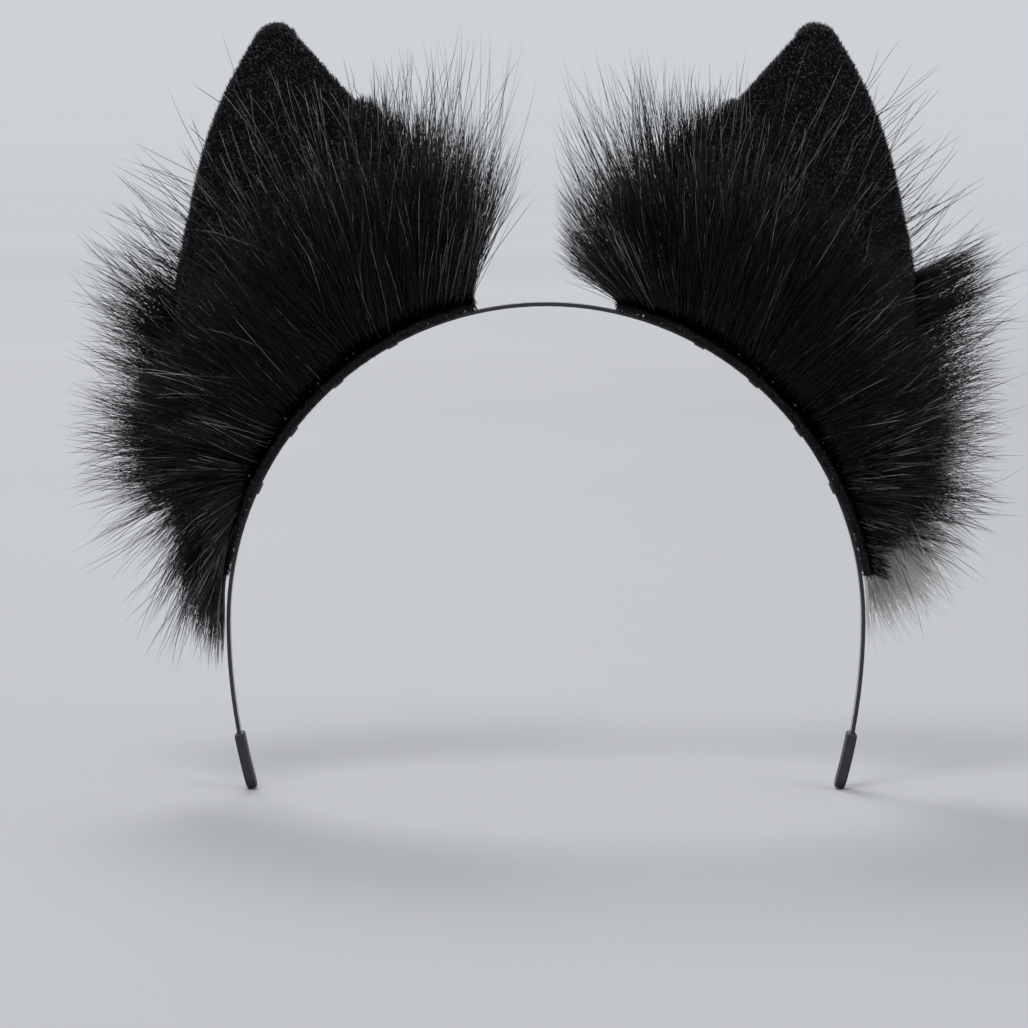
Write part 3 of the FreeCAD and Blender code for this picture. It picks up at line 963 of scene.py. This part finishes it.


# ---- finishes ----

# In the fur and the plush the lighter hairs are painted glints; in the pale fluff they are barely lighter.
FUR = hair_material("long_black_fur", 0.0013, (0.0053, 0.0052, 0.0052), 0.7, 20.0, 8.0, 0.25, 0.0, 0.31)
PLUSH = hair_material("short_black_plush", 0.0015, (0.0055, 0.0054, 0.0062), 0.7, 30.0, 4.0, 0.5, 0.0, 0.3)
FLUFF = hair_material("pale_fluff", (0.60, 0.58, 0.54), (0.92, 0.90, 0.85), 0.2, 1.06, 1.02, 0.5, 0.2, 0.5)
PANEL = cloth_material("plush_backing", 0.002, 0.006, 900.0, 0.85, 0.6, 0.0, 0.1)
LINING = cloth_material("pale_plush_backing", (0.5, 0.485, 0.46), (0.7, 0.685, 0.66), 900.0, 0.85, 0.6, 0.3)
FELT = cloth_material("black_felt", 0.004, 0.012, 1400.0, 0.9, 0.8, 0.2)
THREAD = cloth_material("black_thread", 0.006, 0.018, 2500.0, 0.5, 0.4, 0.1)
FOAM = cloth_material("grey_foam", 0.25, 0.4, 1200.0, 0.9, 0.7, 0.0)


def lacquer():
    made, tree, shader = material("black_lacquer", Coat_Weight=0.4, Coat_Roughness=0.12)
    _, mottle = mottled(tree, shader, [(0.35, 0.004), (0.75, 0.012)], (0.2, 0.38), Scale=500.0, Detail=5.0)
    relief(tree, shader, mottle, 0.15, 0.0002)
    return made


def wire_metal():
    made, tree, shader = material("soft_wire", Metallic=1.0)
    mottled(tree, shader, [(0.3, 0.45), (0.7, 0.62)], (0.3, 0.5), Scale=700.0, Detail=4.0)
    return made


def dress(node_name, finish):
    """Gives a CAD node that stays as it is a better material."""
    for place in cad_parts[node_name].material_slots:
        place.material = finish


LACQUER, WIRE = lacquer(), wire_metal()
RUBBER = cloth_material("soft_rubber", 0.008, 0.014, 600.0, 0.6, 0.15, 0.0)
dress("hoop_band", LACQUER)

# ---- both ears ----

MOST_TRIANGLES = 180000      # in one piece of hair


def stand_for(piece, body, slot, *nodes):
    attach(piece, body)
    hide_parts(*nodes)
    return piece


def hair_pieces(name, hairs, glint_share, finish, side, rng, *place):
    """Hairs as one or more pieces, none of them too heavy."""
    strands, widths = hairs
    each = (strands.shape[1] - 2) * 6 + 4
    count = math.ceil(len(strands) * each / MOST_TRIANGLES)
    for part, rows in enumerate(np.array_split(rng.permutation(len(strands)), count)):
        piece = hair_piece("%s_%d" % (name, part + 1), mirrored(strands[rows], side), widths[rows],
                           glint_share, finish, rng)
        stand_for(piece, *place)


CUSHION = outward(mesh_piece("cushion", *cushion(), PANEL), weld=True)
puffed(CUSHION, 0.0007)
CUSHION_MESH = CUSHION.data
SURFACE = BVHTree.FromPolygons([vertex.co[:] for vertex in CUSHION_MESH.vertices],
                               [face.vertices[:] for face in CUSHION_MESH.polygons])
bpy.data.objects.remove(CUSHION)


def make_ear(word, side, seed):
    body = word + "_ear"
    rng = np.random.default_rng(seed)
    shell = placed(body + "_plush_back", CUSHION_MESH.copy())
    if side < 0:
        shell.data.transform(Matrix.Scale(-1, 4, (1, 0, 0)))
        shell.data.flip_normals()
    stand_for(shell, body, "short_plush", body + "_back_panel")
    points, faces = lining()
    stand_for(outward(mesh_piece(body + "_lining", mirrored(points, side), faces, LINING), weld=True),
              body, "lining_plush", body + "_front_lining")
    stand_for(base_strip(body + "_felt_strip", FELT, side),
              body, "base_felt", body + "_base_strip")
    thread = stitches(body + "_thread", THREAD, side)
    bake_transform(thread)
    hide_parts(body + "_stitches")
    dress(body + "_core", FOAM)
    dress(body + "_wire", WIRE)
    dress(word + "_end_cap", RUBBER)

    fur = (body, "long_fur", body + "_back_fur", body + "_side_fur")
    hair_pieces(body + "_long_fur", long_fur(word, rng), GLINTS_IN_FUR, FUR, side, rng, *fur)
    hair_pieces(body + "_edging", edging(rng), 0.0, FUR, side, rng, *fur)
    hair_pieces(body + "_loose_hairs", loose_hairs(word, rng), GLINTS_IN_LOOSE, FUR, side, rng, *fur)
    hair_pieces(body + "_hairs_over_plush", hairs_over_plush(word, rng), GLINTS_OVER_PLUSH[word], FUR,
                side, rng, *fur)
    hair_pieces(body + "_pile", back_pile(rng), GLINTS_IN_PILE, PLUSH, side, rng,
                body, "short_plush", body + "_back_panel")
    hair_pieces(body + "_lining_pile", lining_pile(rng), GLINTS_IN_PALE, FLUFF, side, rng,
                body, "lining_plush", body + "_front_lining")
    hair_pieces(body + "_fluff", fluff(word, rng), GLINTS_IN_PALE, FLUFF, side, rng,
                body, "pale_fluff", body + "_inner_fluff")


make_ear("left", 1, 11)
make_ear("right", -1, 41)

# ---- camera, floor and light ----

VIEW_WIDTH = 0.267          # of the picture, at the hoop
DISTANCE = 1.4
ELEVATION = math.radians(5.0)
AIM = Vector((0.0083, 0.0, 0.0279))

camera_data = bpy.data.cameras.new("camera")
camera_data.sensor_width = 36.0
camera_data.lens = camera_data.sensor_width * DISTANCE / VIEW_WIDTH
camera_data.clip_start, camera_data.clip_end = 0.05, 30.0


def aimed(thing, place):
    """Puts a camera or lamp at a place, turned to the middle of the picture."""
    thing.location = place
    thing.rotation_euler = (AIM - thing.location).to_track_quat("-Z", "Y").to_euler()
    return thing


bpy.context.scene.camera = aimed(placed("camera", camera_data),
                                 AIM + DISTANCE * Vector((0.0, math.cos(ELEVATION), math.sin(ELEVATION))))


def backdrop():
    """A wide floor, paler far away where it catches less of the lamps' light."""
    made, tree, shader = material("pale_floor", Roughness=0.9)
    place = node(tree, "ShaderNodeTexCoord").outputs["Object"]
    noise = node(tree, "ShaderNodeTexNoise", {"Vector": place, "Scale": 3.0, "Detail": 2.0})
    away = node(tree, "ShaderNodeVectorMath", {"Vector": place}, operation="LENGTH")
    far = node(tree, "ShaderNodeMapRange", {"Value": away.outputs["Value"], "From Max": 10.0})
    mottle = ramp(tree, noise.outputs["Fac"], [(0.3, 0.985), (0.7, 1.0)])
    pale = ramp(tree, far.outputs["Result"], [(0.0, (0.405, 0.409, 0.425)), (0.05, (0.386, 0.390, 0.405)),
                                              (0.10, (0.366, 0.370, 0.384)), (0.146, (0.372, 0.376, 0.390)),
                                              (0.18, (0.425, 0.428, 0.440)), (0.226, (0.560, 0.563, 0.571)),
                                              (0.285, (0.805, 0.807, 0.812)), (0.37, (0.925, 0.925, 0.93)),
                                              (0.9, (0.99, 0.99, 0.99))])
    tree.links.new(colour_product(tree, pale, mottle), shader.inputs["Base Color"])
    sides, rings = 96, []
    for radius in (0.5, 1.5, 4.0, 9.0, 14.0):
        turns = np.arange(sides) * math.tau / sides
        rings.append(np.stack([radius * np.cos(turns), radius * np.sin(turns), np.zeros(sides)], axis=1))
    points = (np.concatenate(rings) + np.array([0, 0, floor_z])) / MM
    faces = [list(range(sides))] + ring_faces(len(rings), sides)
    outward(mesh_piece("floor", points, faces, made))


def softbox(name, place, size, power):
    data = bpy.data.lights.new(name, "AREA")
    data.shape = "RECTANGLE"
    data.size, data.size_y = size
    data.energy = power
    aimed(placed(name, data), place)


backdrop()
softbox("key", Vector((0.5, 1.3, 1.9)), (0.8, 0.8), 20.0)
softbox("fill", Vector((-1.5, 1.2, 1.0)), (1.4, 1.4), 9.0)
softbox("front", Vector((0.4, -1.6, 1.6)), (0.9, 0.9), 27.0)

world = bpy.data.worlds.new("studio")
world.use_nodes = True
world.node_tree.nodes["Background"].inputs["Color"].default_value = (0.617, 0.638, 0.672, 1.0)
world.node_tree.nodes["Background"].inputs["Strength"].default_value = 1.0
bpy.context.scene.world = world
bpy.context.scene.view_settings.view_transform = "Standard"
